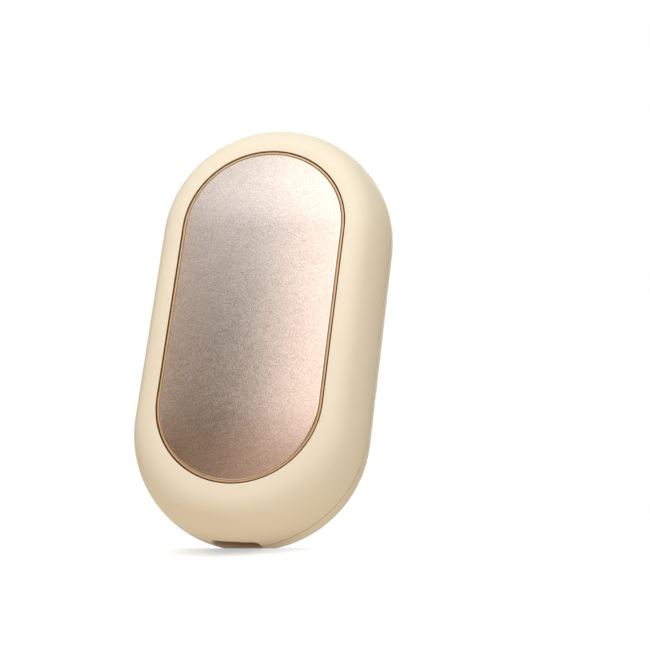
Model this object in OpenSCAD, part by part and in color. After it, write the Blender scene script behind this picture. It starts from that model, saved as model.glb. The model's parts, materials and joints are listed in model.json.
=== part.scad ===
// Rechargeable hand warmer: two moulded half shells round a pair of cylindrical
// cells, a metal heating plate on the front face, and one power button with
// three charge lights on the back face. It stands on its port end.
// X is the width, Y runs from the plate face (-) to the button face (+) and
// Z runs up the body from the foot. All sizes are in millimetres.

/* [Cells] */
// Diameter of a cell in its sleeve
cell_d = 18.3; // [18:0.1:20]
// Length of a cell
cell_l = 65; // [60:0.5:70]
// Space between the two cells
cell_gap = 0.5; // [0.3:0.1:0.8]

/* [Body] */
// Room beside the cells, out to the widest line of the body
side_room = 8.45; // [8.35:0.05:9.5]
// Room between the cells and the main board behind them
cell_space = 0.65; // [0.6:0.05:0.9]
// Room between the port board and the cells above it
port_room = 3; // [2.8:0.1:4]
// Room between the cells and the lead headers above them
lead_room = 3.2; // [3:0.1:4]
// Room above the headers, for the top screw and the rounded end
head_room = 10.4; // [10.2:0.1:11]
// Wall thickness of both shells
wall = 1.8; // [1.6:0.1:2]
// Width of the rounded margin round each flat face
edge_margin = 7.7; // [7.5:0.1:8.3]
// Radius where the rounded side runs into a flat face
edge_r = 6; // [5.4:0.1:6.3]
// Height shaved off the port end, so that the body stands
foot_cut = 0.4; // [0.3:0.05:0.5]
// Depth of the groove that shows as the seam
seam_groove = 0.25; // [0.15:0.05:0.35]
// Height of the lip that laps the two shells
lip_h = 1.4; // [1:0.1:2]
// Thickness of that lip
lip_t = 0.8; // [0.6:0.05:0.85]
// Length of each snap bead on the lip
snap_l = 6; // [4:0.5:9]

/* [Heating plate] */
// Cream margin above the plate
plate_top_margin = 9; // [8.5:0.1:10]
// Cream margin below the plate
plate_low_margin = 10.8; // [10:0.1:12]
// Thickness of the plate
plate_t = 1.2; // [1:0.1:1.4]
// Chamfer round the plate's front edge
plate_chamfer = 0.3; // [0.15:0.05:0.4]
// Width of the trim ring round the plate
trim_w = 0.55; // [0.4:0.05:0.8]
// How far the trim ring sits below the front face
trim_drop = 0.2; // [0.1:0.05:0.4]
// Width of the ledge that carries the plate
ledge_w = 2.2; // [2:0.1:2.6]
// Thickness of that ledge
ledge_t = 1.2; // [1:0.1:1.3]
// Thickness of the adhesive gasket under the plate
gasket_t = 0.2; // [0.15:0.05:0.25]
// Thickness of the heater film
film_t = 0.15; // [0.1:0.05:0.2]
// Thickness of the etched heater trace
trace_t = 0.1; // [0.05:0.05:0.15]
// Width of the heater trace
trace_w = 1.6; // [1.2:0.1:2]
// Distance between neighbouring runs of the trace
trace_pitch = 3; // [2.6:0.1:4]
// Thickness of the heat pad behind the film
pad_t = 0.8; // [0.6:0.05:0.85]

/* [Button and lights] */
// Distance from the centre of the rounded top down to the middle of the button
button_drop = 0.6; // [0:0.1:2]
// Diameter of the button cap
button_d = 11.5; // [10.5:0.1:12]
// Travel of the button
button_travel = 0.3; // [0.2:0.05:0.35]
// Diameter of the round dish that the button sits in
dish_d = 15; // [14.6:0.1:16]
// Depth of the dish
dish_depth = 0.6; // [0.4:0.05:0.7]
// Distance from the middle of the button to the lights
light_r = 11.1; // [10.9:0.1:11.6]
// Angle between neighbouring lights, seen from the button
light_step = 29.5; // [26:0.5:32]
// Diameter of the light holes
light_d = 1.2; // [1:0.1:1.4]

/* [Charging port] */
// Width of the recess round the port
recess_w = 11; // [10.6:0.1:11.8]
// Height of the recess round the port
recess_t = 6; // [5.4:0.1:6.4]
// Depth of the recess, from the foot
recess_depth = 1.6; // [1.4:0.1:1.8]
// Width of the port shell
port_w = 8.94; // [8.94:0.01:8.94]
// Height of the port shell
port_t = 3.26; // [3.26:0.01:3.26]
// Length of the port shell
port_l = 7.3; // [7:0.1:7.6]

/* [Circuit boards] */
// Thickness of the main board
board_t = 0.8; // [0.6:0.1:0.8]
// Distance from the widest line of the body in to the main board
board_margin = 7; // [6.8:0.1:7.4]
// Distance from the centre of the rounded top down to the main board's lower edge
board_drop = 13; // [12:0.5:14]
// Height of the parts' space between the main board and the rear wall
board_space = 1.8; // [1.75:0.05:1.95]
// Thickness of the port board
port_board_t = 1; // [0.8:0.1:1.2]
// Length of the port board
port_board_l = 10.8; // [10.6:0.1:11.4]

/* [Fit] */
// Gap between pieces that sit in one another
fit_gap = 0.1; // [0.05:0.01:0.12]
// Gap between flat faces that rest on one another
rest_gap = 0.05; // [0.03:0.01:0.06]
// Gap round the button cap
button_gap = 0.15; // [0.1:0.01:0.2]

/* [Hidden] */
$fn = 96;

cream = [0.93, 0.86, 0.73];
champagne = [0.78, 0.69, 0.64];
rose = [0.72, 0.48, 0.36];
soot = [0.12, 0.12, 0.12];
steel = [0.6, 0.6, 0.62];
board_green = [0.05, 0.3, 0.16];

// How far a cut runs past the face that it opens
over = 1;
// How far a rib or boss is rooted in a wall
root = wall / 2;

// Stack from the port up to the top of the cells, and from the plate to the rear wall
cell_r = cell_d / 2;
port_z = recess_depth + fit_gap;
port_board_z = port_z + 1.9;
cell_lift = port_board_z + port_board_l + port_room;
cell_top = cell_lift + cell_l;
header_l = 4;
header_z = cell_top + lead_room;
body_w = 2 * (2 * cell_r + cell_gap / 2 + side_room);
body_l = header_z + header_l + head_room;
body_t = plate_t + gasket_t + ledge_t + rest_gap + cell_d + cell_space + board_t + board_space + wall;

// Body
half_w = body_w / 2;
half_t = body_t / 2;
front_y = -half_t;
back_y = half_t;
inner_back = back_y - wall;
low_z = half_w - foot_cut;
top_z = body_l - half_w;
edge_x = half_w - edge_margin;
side_r = (pow(edge_margin, 2) + pow(half_t, 2) - 2 * half_t * edge_r)
    / (2 * (edge_margin - edge_r));
side_a = atan2(half_t - edge_r, side_r - edge_margin);
snap_r = 0.3;
snap_in = 8;

// Heater stack, from the opening in the front face inwards
opening_half = edge_x;
plate_low_z = plate_low_margin - foot_cut + opening_half;
plate_top_z = body_l - plate_top_margin - opening_half;
trim_out = opening_half - fit_gap;
trim_in = trim_out - trim_w;
plate_half = trim_in - fit_gap;
ledge_in = opening_half - ledge_w;
film_half = ledge_in - 2 * fit_gap;
film_y = front_y + plate_t;
trace_y = film_y + film_t;
pad_y = trace_y + trace_t;
ledge_y = film_y + gasket_t;
notch_w = 13;
notch_z = plate_top_z + ledge_in - 4.2;
pad_x = 2;
pads_z = notch_z + 1;
trace_low_z = plate_low_z - 0.8 * film_half;
sensor_r = 0.7;
sensor_x = -1.8 * pad_x;
sensor_z = pads_z + 0.8;
sensor_y = pad_y + sensor_r;

// Cells and the cradle that holds them
sleeve_t = 0.1;
can_r = cell_r - sleeve_t - rest_gap;
can_t = 0.25;
can_l = cell_l - 0.7;
cap_h = 0.7;
bead_z = can_l - 3;
bead_h = 0.6;
cell_x = cell_r + cell_gap / 2;
cell_clear = 0.15;
cradle_y = ledge_y + ledge_t + rest_gap;
cell_y = cradle_y + cell_r;
cradle_t = 1;
cradle_in = cell_x + cell_r + cell_clear + fit_gap;
cradle_rim = cell_y + 0.12 * cell_d;
end_space = 0.8;
cradle_lo = cell_lift - end_space - cradle_t;
cradle_hi = cell_top + end_space + cradle_t;
side_wall_in = 6;
saddle_t = 2;
saddle_h = 5;
saddle_heights = [for (share = [0.15, 0.5, 0.85]) cell_lift + share * cell_l];
spine_half = 4;
spine_t = 2;
strip_t = 0.15;
strip_w = 6;
strip_y = 4;
tab_w = 3;

// Screws that hold the cradle to the front shell
screw_reach = half_w - 6;
screw_a = 44;
screw_x = screw_reach * cos(screw_a);
screw_low = low_z - screw_reach * sin(screw_a);
screw_top = top_z + screw_reach * sin(screw_a);
boss_r = 2.3;
boss_y = cell_y - 0.15 * cell_d;
lug_t = 1.2;
lug_w = 3;
shank_r = 0.65;
pilot_r = 0.75;
pilot_room = 0.4;
head_r = 1.5;
head_t = 0.9;
long_screw = 5;

// Main board and what stands on it
board_y = inner_back - board_space - board_t;
board_back = board_y + board_t;
board_half = half_w - board_margin;
board_lo = top_z - board_drop;
board_corner = 2;
board_screw_x = board_half - 3;
board_screw_z = top_z + 3;
board_screw_top = header_z + header_l + 1.8;
post_r = 2;
hole_r = 1;
board_screw_l = 2.6;
port_screw_l = 3;
chip_h = 1.2;
chip_lift = 0.1;
chip_x = 0.62 * board_half;
chips_z = board_lo + 5.4;
header_h = 3.2;
header_w = 5.5;
header_y = board_y - header_h / 2;
header_front = board_y - header_h;
pin_step = 2;
battery_pins = [0.11 * board_half, 0.11 * board_half + pin_step];
heater_pins = [0.44 * board_half, 0.44 * board_half + pin_step];
sensor_pin_x = -0.57 * board_half;

// Button, switch and lights
button_z = top_z - button_drop;
button_r = button_d / 2;
cap_y = back_y - dish_depth;
cap_skin = 0.9;
cap_round = 0.2;
skirt_t = 1;
flange_r = button_r + 0.95;
flange_t = 0.45;
flange_y = inner_back - 0.1;
tact_size = 5.1;
tact_h = 0.9;
tact_well = board_back + 0.35;
plunger_r = 1.05;
plunger_y = inner_back - 0.4;
guide_r = flange_r + 0.35;
guide_wall = 1.1;
guide_h = 1.2;
key_w = 1.8;
key_out = guide_r + 0.7;
key_gap = 0.2;
light_bar = 1.7;
light_y = inner_back - 0.75;
light_end = 0.45;
light_rim = 0.3;
light_post_r = 0.6;
light_post_out = 0.3;
light_post_a = light_step + 17;
light_span = light_step + 24;

// Charging port
port_y = port_t / 2 + rest_gap;
port_back = port_y + port_board_t;
port_skin = 0.3;
port_screw_x = port_w / 2 + 1;
port_board_w = 2 * (port_screw_x + post_r);
port_screw_z = port_board_z + port_board_l - 2.2;
block_side = 1.5;
block_z = recess_depth + 1.6;

// Leads
lead_d = 1.2;
groove_y = cell_y + 0.31 * cell_d;
port_lead_y = cell_y + 0.4 * cell_d;
port_lead_x = 1.6;
tab_y = cell_y + strip_y + 0.35;

// Half section of the body across its width, drawn in from the skin by inset
module side_profile(inset) {
    far = half_t - inset;
    small_r = edge_r - inset;
    big_r = side_r - inset;
    arc_x = half_w - side_r;
    reach = 2 * big_r;
    tangent_x = edge_x + small_r * cos(side_a);
    tangent_y = half_t - edge_r + small_r * sin(side_a);
    polygon([
        [0, -far], [edge_x, -far], [tangent_x, -tangent_y],
        [tangent_x, tangent_y], [edge_x, far], [0, far]
    ]);
    for (side = [-1, 1]) translate([edge_x, side * (half_t - edge_r)]) circle(small_r);
    intersection() {
        translate([arc_x, 0]) circle(big_r);
        polygon([
            [arc_x, 0],
            [arc_x + reach * cos(side_a), -reach * sin(side_a)],
            [arc_x + reach * cos(side_a), reach * sin(side_a)]
        ]);
        translate([0, -half_t]) square([body_w, body_t]);
    }
}

// Band of a half section between two depths
module band(from_y, to_y) {
    translate([0, from_y]) square([body_w, to_y - from_y]);
}

// Carries a half section round a pill outline with its arcs centred at two heights
module sweep(low, high) {
    translate([0, 0, high]) rotate([-90, 0, 0]) rotate_extrude(angle = 180, start = 180) children();
    translate([0, 0, low]) rotate([-90, 0, 0]) rotate_extrude(angle = 180, start = 0) children();
    translate([0, 0, low]) linear_extrude(high - low) {
        children();
        mirror([1, 0]) children();
    }
}

// Carries a half section round the body's own outline
module round_body() {
    sweep(low_z, top_z) children();
}

// Carries a half section round the heating plate's outline
module round_plate() {
    sweep(plate_low_z, plate_top_z) children();
}

// Turns a half section about the depth axis at one place of the plan
module turned(x, z) {
    translate([x, 0, z]) rotate([-90, 0, 0]) rotate_extrude() children();
}

// Gives a plan drawn in width and height its depth
module slab(from_y, to_y) {
    translate([0, to_y, 0]) rotate([90, 0, 0]) linear_extrude(to_y - from_y) children();
}

// Round rod along the depth
module rod(x, z, r, from_y, to_y) {
    slab(from_y, to_y) translate([x, z]) circle(r, $fn = 48);
}

// Rectangle with rounded corners, centred
module rounded_box(w, h, r) {
    square([w - 2 * r, h], center = true);
    square([w, h - 2 * r], center = true);
    for (x = [-1, 1], y = [-1, 1])
        translate([x * (w / 2 - r), y * (h / 2 - r)]) circle(r, $fn = 48);
}

// Keeps what lies within the body, half a wall in from its skin
module within_body() {
    intersection() {
        children();
        round_body() side_profile(root);
    }
}

// Repeats a piece on both sides of the middle plane
module both_sides() {
    children();
    mirror([1, 0, 0]) children();
}

// Everything below the foot, and the port recess with the way in for the plug
module foot_and_port() {
    translate([-half_w, front_y, -half_w]) cube([body_w, body_t, half_w]);
    translate([0, 0, -over]) linear_extrude(recess_depth + over)
        rounded_box(recess_w, recess_t, recess_t / 3);
    translate([0, 0, -over]) linear_extrude(block_z + 2 * over)
        rounded_box(port_w + 2 * fit_gap, port_t + 2 * fit_gap, port_t / 2);
}

// Thickened wall round the port, from the seam to one face
module port_block(from_y, to_y) {
    within_body() translate([-recess_w / 2 - block_side, from_y, 0])
        cube([recess_w + 2 * block_side, to_y - from_y, block_z]);
}

// Snap beads along both straight sides of the lip
module snap_beads(r) {
    bead_x = half_w - wall + lip_t;
    both_sides() for (z = [low_z + snap_in, top_z - snap_in])
        translate([bead_x, -lip_h / 2, z - snap_l / 2]) cylinder(r = r, h = snap_l, $fn = 32);
}

// Groove along the seam, in half section
module seam() {
    translate([half_w, 0]) rotate(45) square(seam_groove * sqrt(2), center = true);
}

module front_section() {
    difference() {
        intersection() {
            side_profile(0);
            band(-body_t, 0);
        }
        side_profile(wall);
        intersection() {
            side_profile(wall - lip_t - fit_gap);
            band(-lip_h - fit_gap, over);
        }
        seam();
    }
}

module rear_section() {
    difference() {
        intersection() {
            side_profile(0);
            band(0, body_t);
        }
        side_profile(wall);
        seam();
    }
    difference() {
        intersection() {
            side_profile(wall - lip_t);
            band(-lip_h, root);
        }
        side_profile(wall);
    }
}

// Rods on the four places where the cradle is screwed down
module cradle_rods(r, from_y, to_y) {
    both_sides() for (z = [screw_low, screw_top]) rod(screw_x, z, r, from_y, to_y);
}

// Plate-side shell, with the window for the heater and the cradle's screw bosses
module front_shell() {
    color(cream) difference() {
        union() {
            round_body() front_section();
            round_plate() translate([ledge_in - root / 2, ledge_y]) square([ledge_w + wall, ledge_t]);
            port_block(front_y, -fit_gap / 2);
            within_body() cradle_rods(boss_r, front_y, boss_y);
        }
        round_plate() {
            translate([0, front_y - over]) square([opening_half, ledge_y - front_y + over]);
            translate([0, front_y - over]) square([ledge_in, ledge_y - front_y + ledge_t + 2 * over]);
        }
        cradle_rods(pilot_r, boss_y - long_screw, boss_y + over);
        snap_beads(snap_r + fit_gap);
        foot_and_port();
    }
}

// Saddle ribs that press the cells into the cradle, with room for the leads
module cell_ribs() {
    rib_t = 1.4;
    rib_y = cell_y + 0.24 * cell_d;
    leads_half = port_lead_x + 1.4;
    for (share = [0.11, 0.32, 0.54]) translate([0, 0, cell_lift + share * cell_l])
        linear_extrude(rib_t) difference() {
            translate([-edge_x, rib_y]) square([2 * edge_x, inner_back + root / 2 - rib_y]);
            for (side = [-1, 1]) translate([side * cell_x, cell_y]) circle(cell_r + cell_clear);
            translate([-leads_half, cell_y]) square([2 * leads_half, port_lead_y - cell_y + lead_d]);
        }
}

// Rods on the places of the main board's screws
module board_rods(r, from_y, to_y) {
    both_sides() rod(board_screw_x, board_screw_z, r, from_y, to_y);
    rod(0, board_screw_top, r, from_y, to_y);
}

// Rods on the places of the port board's screws
module port_rods(r, from_y, to_y) {
    both_sides() rod(port_screw_x, port_screw_z, r, from_y, to_y);
}

// Rods on the two posts that hold the light guide
module guide_rods(r, from_y, to_y) {
    both_sides() rod(light_r * sin(light_post_a), button_z + light_r * cos(light_post_a), r, from_y, to_y);
}

// Button-side shell, with the dish, the button's guide, the light holes and the boards' posts
module rear_shell() {
    block_half = recess_w / 2 + block_side + 2 * fit_gap;
    dish_floor_r = button_r + 0.7;
    color(cream) difference() {
        union() {
            round_body() rear_section();
            port_block(fit_gap / 2, port_back + over);
            snap_beads(snap_r);
            turned(0, button_z) translate([guide_r, inner_back - guide_h])
                square([guide_wall, guide_h + root / 2]);
            board_rods(post_r, board_back, inner_back + root);
            port_rods(post_r, port_back, inner_back + root);
            guide_rods(light_post_r, light_y - light_post_out, inner_back + root);
            cell_ribs();
        }
        turned(0, button_z) {
            translate([0, inner_back - 3 * over]) square([button_r + button_gap, wall + 4 * over]);
            polygon([
                [0, cap_y], [dish_floor_r, cap_y], [dish_d / 2, back_y],
                [dish_d / 2, back_y + over], [0, back_y + over]
            ]);
        }
        both_sides() translate([guide_r - over, inner_back - 2 * over, button_z - key_w / 2 - key_gap])
            cube([guide_wall + 2 * over, 2 * over, key_w + 2 * key_gap]);
        translate([-block_half, -lip_h - over, -over])
            cube([2 * block_half, lip_h + over, block_z + 2 * over]);
        for (step = [-1:1]) turned(light_x(step), light_z(step)) {
            translate([0, inner_back - over]) square([light_d / 2, wall + 2 * over]);
            polygon([
                [0, back_y - light_rim], [light_d / 2, back_y - light_rim],
                [light_d / 2 + light_rim, back_y], [light_d / 2 + light_rim, back_y + over],
                [0, back_y + over]
            ]);
        }
        board_rods(pilot_r, board_back - over, board_y + board_screw_l + pilot_room);
        port_rods(pilot_r, port_y, port_y + port_screw_l + pilot_room);
        foot_and_port();
    }
}

function light_x(step) = light_r * sin(step * light_step);
function light_z(step) = button_z + light_r * cos(step * light_step);

// Aluminium plate that warms the hand, with a bright chamfer round its front edge
module heating_plate() {
    color(champagne) round_plate() polygon([
        [0, front_y], [plate_half - plate_chamfer, front_y], [plate_half, front_y + plate_chamfer],
        [plate_half, film_y], [0, film_y]
    ]);
}

// Thin ring between the plate and the shell
module trim_ring() {
    lean = trim_w / 4;
    face = front_y + trim_drop;
    color(rose) round_plate() polygon([
        [trim_in, face + lean], [trim_in + lean, face], [trim_out - lean, face],
        [trim_out, face + lean], [trim_out, ledge_y], [trim_in, ledge_y]
    ]);
}

// Die-cut adhesive that bonds the plate to the ledge
module plate_gasket() {
    color(soot) round_plate() translate([ledge_in + fit_gap, film_y])
        square([plate_half - ledge_in - 2 * fit_gap, gasket_t]);
}

module heater_film() {
    color([0.75, 0.42, 0.12]) round_plate() translate([0, film_y]) square([film_half, film_t]);
}

// How far the trace reaches from the middle at one height
function trace_reach(z) =
    let (past = max(plate_low_z - z, z - plate_top_z, 0))
    sqrt(pow(film_half - trace_w, 2) - past * past);

// One etched foil line: down one half of the film in folds, across, and up the other half.
// Slits from the middle and from the edge take turns, and leave the line between them
module heater_trace() {
    folds = 2 * floor((pads_z - trace_low_z) / trace_pitch / 2) + 1;
    pitch = (pads_z - trace_low_z) / folds;
    slit = pitch - trace_w;
    inner = pad_x - trace_w / 2;
    color([0.8, 0.45, 0.25]) slab(trace_y, pad_y) difference() {
        intersection() {
            union() {
                for (z = [plate_low_z, plate_top_z]) translate([0, z]) circle(film_half - trace_w);
                translate([-film_half + trace_w, plate_low_z])
                    square([2 * (film_half - trace_w), plate_top_z - plate_low_z]);
            }
            translate([-half_w, trace_low_z - trace_w / 2]) square([body_w, pads_z - trace_low_z + trace_w]);
        }
        translate([-inner, trace_low_z + trace_w / 2]) square([2 * inner, body_l]);
        for (fold = [0:folds - 1], half = [0, 1]) {
            z = trace_low_z + fold * pitch + trace_w / 2;
            from_edge = fold % 2 == 1;
            near = from_edge ? inner + trace_w : inner - over;
            far = from_edge ? half_w : min(trace_reach(z), trace_reach(z + slit)) - trace_w;
            mirror([half, 0]) translate([near, z]) square([far - near, slit]);
        }
    }
}

// Soft heat pad that keeps the film against the plate, notched for the leads
module heat_pad() {
    color([0.9, 0.9, 0.86]) difference() {
        round_plate() translate([0, pad_y]) square([film_half - fit_gap, pad_t]);
        translate([-notch_w / 2, pad_y - over, notch_z]) cube([notch_w, pad_t + 2 * over, half_w]);
    }
}

// Temperature sensor bead on the film, beside the heater's leads
module thermistor() {
    color(soot) turned(sensor_x, sensor_z) translate([0, sensor_y]) {
        intersection() {
            circle(sensor_r, $fn = 48);
            translate([0, -sensor_r]) square(2 * sensor_r);
        }
        square([sensor_r, 1.5 * sensor_r]);
    }
}

// Plan of the two cells as seen from above, with their clearance
module cell_wells() {
    for (side = [-1, 1]) translate([side * cell_x, cell_y]) circle(cell_r + cell_clear);
}

// Saddle under both cells, with a base that rests over the heat pad
module cradle_saddle(z) {
    base = film_half - 1;
    reach = cradle_in + cradle_t / 2;
    pad_back = pad_y + pad_t + rest_gap;
    translate([0, 0, z - saddle_t / 2]) linear_extrude(saddle_t) difference() {
        union() {
            translate([-reach, cradle_y]) square([2 * reach, saddle_h]);
            translate([-base, pad_back]) square([2 * base, saddle_h]);
        }
        cell_wells();
    }
}

// Lug that reaches from an end wall over a screw boss
module cradle_lug(near, far) {
    both_sides() translate([screw_x - lug_w / 2, boss_y, near]) cube([lug_w, lug_t, far - near]);
}

// Frame that holds the two cells, with open corners, screwed to the front shell
module battery_cradle() {
    end_half = screw_x + lug_w / 2;
    color(soot) difference() {
        union() {
            both_sides() translate([cradle_in, cradle_y + spine_t, cradle_lo + side_wall_in])
                cube([cradle_t, cradle_rim - cradle_y - spine_t, cradle_hi - cradle_lo - 2 * side_wall_in]);
            for (z = [cradle_lo, cradle_hi - cradle_t]) translate([-end_half, cradle_y, z])
                cube([2 * end_half, cradle_rim - cradle_y, cradle_t]);
            translate([0, 0, cradle_lo]) linear_extrude(cradle_hi - cradle_lo) difference() {
                translate([-spine_half, cradle_y]) square([2 * spine_half, spine_t]);
                cell_wells();
            }
            for (z = saddle_heights) cradle_saddle(z);
            cradle_rods(boss_r + 0.5, boss_y, boss_y + lug_t);
            cradle_lug(screw_low, cradle_lo + cradle_t / 2);
            cradle_lug(cradle_hi - cradle_t / 2, screw_top);
        }
        cradle_rods(pilot_r + 0.2, boss_y - over, boss_y + lug_t + over);
    }
}

// Foam pads between the cradle's end walls and the cells' end strips
module end_pads() {
    thick = end_space - strip_t - 0.25;
    color([0.2, 0.2, 0.22])
        for (z = [cell_lift - end_space + rest_gap, cell_top + end_space - rest_gap - thick])
            translate([0, cell_y - 2, z]) linear_extrude(thick)
                rounded_box(2 * cell_x + 0.4 * cell_d, 0.4 * cell_d, 1);
}

// Puts a piece on the axis of one cell, at a height above its lower end
module on_cell(side, height) {
    translate([side * cell_x, cell_y, cell_lift + height]) rotate_extrude() children();
}

// Steel can of a cell, rolled in below its lid
module cell_can(side) {
    foot = 0.5;
    neck = can_r - foot;
    color([0.75, 0.76, 0.78]) on_cell(side, 0) difference() {
        polygon([
            [0, 0], [can_r - foot, 0], [can_r, foot], [can_r, bead_z - bead_h], [neck, bead_z],
            [can_r, bead_z + bead_h], [can_r, can_l - foot], [can_r - foot, can_l], [0, can_l]
        ]);
        translate([0, can_t]) square([can_r - can_t - 0.4, bead_z - 2 * bead_h]);
    }
}

// Wound electrodes inside a can
module cell_core(side) {
    color([0.35, 0.36, 0.38]) on_cell(side, can_t + fit_gap)
        square([can_r - can_t - 0.5, bead_z - 2 * bead_h - 2 * fit_gap]);
}

// Shrink sleeve that wraps a can and turns in over both its ends
module cell_sleeve(side) {
    rim_r = cell_r - 1.2;
    free = 0.02;
    color([0.2, 0.45, 0.75]) on_cell(side, 0) polygon([
        [rim_r, -sleeve_t], [cell_r, -sleeve_t], [cell_r, can_l + sleeve_t],
        [rim_r, can_l + sleeve_t], [rim_r, can_l + free], [cell_r - sleeve_t, can_l + free],
        [cell_r - sleeve_t, -free], [rim_r, -free]
    ]);
}

// Raised positive contact of a cell
module cell_cap(side) {
    cap_r = 3.2;
    soft = 0.25;
    color([0.8, 0.8, 0.82]) on_cell(side, can_l)
        polygon([[0, 0], [cap_r, 0], [cap_r, cap_h - soft], [cap_r - soft, cap_h], [0, cap_h]]);
}

// Insulating washer round the positive contact
module cell_washer(side) {
    washer_in = 3.5;
    color([0.92, 0.92, 0.9]) on_cell(side, can_l + 0.02)
        translate([washer_in, 0]) square([cell_r - washer_in - 1.5, 0.2]);
}

// Nickel strip that joins both cells at one end, with a tab for its lead
module strip(z, tab_x) {
    color([0.82, 0.82, 0.8]) translate([0, 0, z]) linear_extrude(strip_t) difference() {
        union() {
            translate([0, cell_y]) rounded_box(2 * cell_x + strip_w, strip_w, strip_w / 4);
            translate([tab_x - tab_w / 2, cell_y]) square([tab_w, strip_y + 1]);
        }
        for (side = [-1, 1]) translate([side * cell_x, cell_y]) square([0.6, strip_w / 2], center = true);
    }
}

module lower_strip() {
    strip(cell_lift - sleeve_t - strip_t, 0);
}

module upper_strip() {
    strip(cell_top + 0.02, battery_pins[1]);
}

// Main board outline: the body's rounded top, cut straight across
module board_plan() {
    corner_h = 2.5 * board_corner;
    intersection() {
        union() {
            translate([0, top_z]) circle(board_half);
            translate([-board_half, board_lo + board_corner])
                square([2 * board_half, top_z - board_lo - board_corner]);
            translate([0, board_lo + corner_h]) rounded_box(2 * board_half, 2 * corner_h, board_corner);
        }
        translate([-board_half, board_lo]) square([2 * board_half, body_l]);
    }
}

module main_board() {
    color(board_green) difference() {
        slab(board_y, board_back) board_plan();
        board_rods(hole_r, board_y - over, board_back + over);
    }
}

// Sheet that keeps the board's solder joints off the cells
module board_insulator() {
    sheet_lo = board_lo + 4;
    sheet_t = 0.2;
    sheet_y = board_y - 0.15;
    color([0.85, 0.85, 0.8]) slab(sheet_y - sheet_t, sheet_y) translate([0, (sheet_lo + cell_top) / 2])
        rounded_box(1.45 * board_half, cell_top - sheet_lo, 1.5);
}

// Press switch under the button, with its four feet
module tact_switch() {
    foot_w = 1;
    foot_h = 0.6;
    color(soot) difference() {
        union() {
            slab(board_back + chip_lift, board_back + tact_h) translate([0, button_z])
                rounded_box(tact_size, tact_size, 0.4);
            both_sides() for (z = [-1, 1])
                translate([(tact_size - foot_w) / 2 + 0.2, board_back, button_z + z * 1.6 - foot_h / 2])
                    cube([foot_w, 0.4, foot_h]);
        }
        rod(0, button_z, plunger_r + fit_gap, tact_well, board_back + tact_h + over);
    }
}

// Round plunger of the switch
module tact_plunger() {
    color([0.85, 0.85, 0.85]) rod(0, button_z, plunger_r, tact_well + button_travel + rest_gap, plunger_y);
}

// Cap with a retaining flange, two keys that stop it turning, and a stem over the plunger
module power_button() {
    stem_r = 1;
    stem_y = plunger_y + rest_gap;
    ceiling = cap_y - cap_skin;
    flange_low = flange_y - flange_t;
    key_root = 0.3;
    color(cream) {
        turned(0, button_z) polygon([
            [0, stem_y], [stem_r, stem_y], [stem_r, ceiling], [button_r - skirt_t, ceiling],
            [button_r - skirt_t, flange_low], [flange_r, flange_low], [flange_r, flange_y],
            [button_r, flange_y], [button_r, cap_y - cap_round], [button_r - cap_round, cap_y], [0, cap_y]
        ]);
        both_sides() translate([flange_r - key_root, flange_low, button_z - key_w / 2])
            cube([key_out - flange_r + key_root, flange_t, key_w]);
    }
}

// Three charge lights soldered to the board, one under each hole
module charge_lights() {
    color([0.95, 0.93, 0.85]) for (step = [-1:1]) translate([light_x(step), board_back, light_z(step)]) {
        translate([-0.8, 0, -0.4]) cube([1.6, 0.3, 0.8]);
        translate([-0.5, 0.2, -0.4]) cube([1, 0.4, 0.8]);
    }
}

// Clear moulding that carries the light out to the three holes
module light_guide() {
    far = 3 * light_r;
    side_x = far * sin(light_span);
    side_z = far * cos(light_span);
    color([0.9, 0.92, 0.95, 0.6]) difference() {
        union() {
            slab(light_y, inner_back - rest_gap) translate([0, button_z]) intersection() {
                difference() {
                    circle(light_r + light_bar / 2);
                    circle(light_r - light_bar / 2);
                }
                polygon([[0, 0], [-side_x, side_z], [-far, 2 * far], [far, 2 * far], [side_x, side_z]]);
            }
            for (step = [-1:1])
                rod(light_x(step), light_z(step), light_d / 2 - rest_gap, light_y, back_y - light_end);
        }
        guide_rods(light_post_r + fit_gap, light_y - over, inner_back + over);
    }
}

// Flat chip package with legs on both long sides
module chip(x, z, w, h, legs) {
    pitch = w / legs;
    leg = [0.4, 0.35, 1.2];
    color(soot) {
        translate([x - w / 2, board_back + chip_lift, z - h / 2]) cube([w, chip_h, h]);
        for (n = [0:legs - 1], side = [-1, 1])
            translate([x + (n + 0.5) * pitch - w / 2, board_back, z + side * (h / 2 + 0.3)])
                translate([-leg[0] / 2, 0, -leg[2] / 2]) cube(leg);
    }
}

module charge_chip() {
    chip(-chip_x, chips_z, 4.9, 3.9, 4);
}

module control_chip() {
    chip(chip_x, chips_z, 5, 4.4, 8);
}

// The pair of transistors that switch the heater
module heater_switches() {
    for (z = [-1.2, 3.2]) chip(-0.6 * board_half, button_z + z, 2.9, 1.6, 3);
}

// Small resistors and capacitors in two rows
module chip_parts() {
    color([0.72, 0.6, 0.45]) for (row = [0:4], col = [0:1])
        translate([0.51 * board_half + col * 2.6, board_back, button_z - 2 + row * 1.9])
            cube([1.6, 0.5, 0.8]);
}

// Shielded coil of the charger, on the front side of the board
module inductor() {
    size = 4.8;
    color([0.3, 0.3, 0.32]) slab(board_y - 3, board_y)
        translate([-0.31 * board_half, header_z + header_l / 2]) difference() {
            rounded_box(size, size, size / 4);
            for (side = [-1, 1]) translate([0, side * size / 2]) square([size / 2, 0.6], center = true);
        }
}

// Body of a lead header, round the middle of its two pins
module header_body(pins) {
    translate([(pins[0] + pins[1] - header_w) / 2, header_front, header_z])
        cube([header_w, header_h, header_l]);
}

// Two-pin lead header, entered from below
module battery_header() {
    color([0.93, 0.92, 0.88]) difference() {
        header_body(battery_pins);
        for (x = battery_pins) translate([x, header_y, header_z - over])
            cylinder(r = lead_d / 2 + fit_gap, h = 2 * over, $fn = 24);
    }
}

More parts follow.
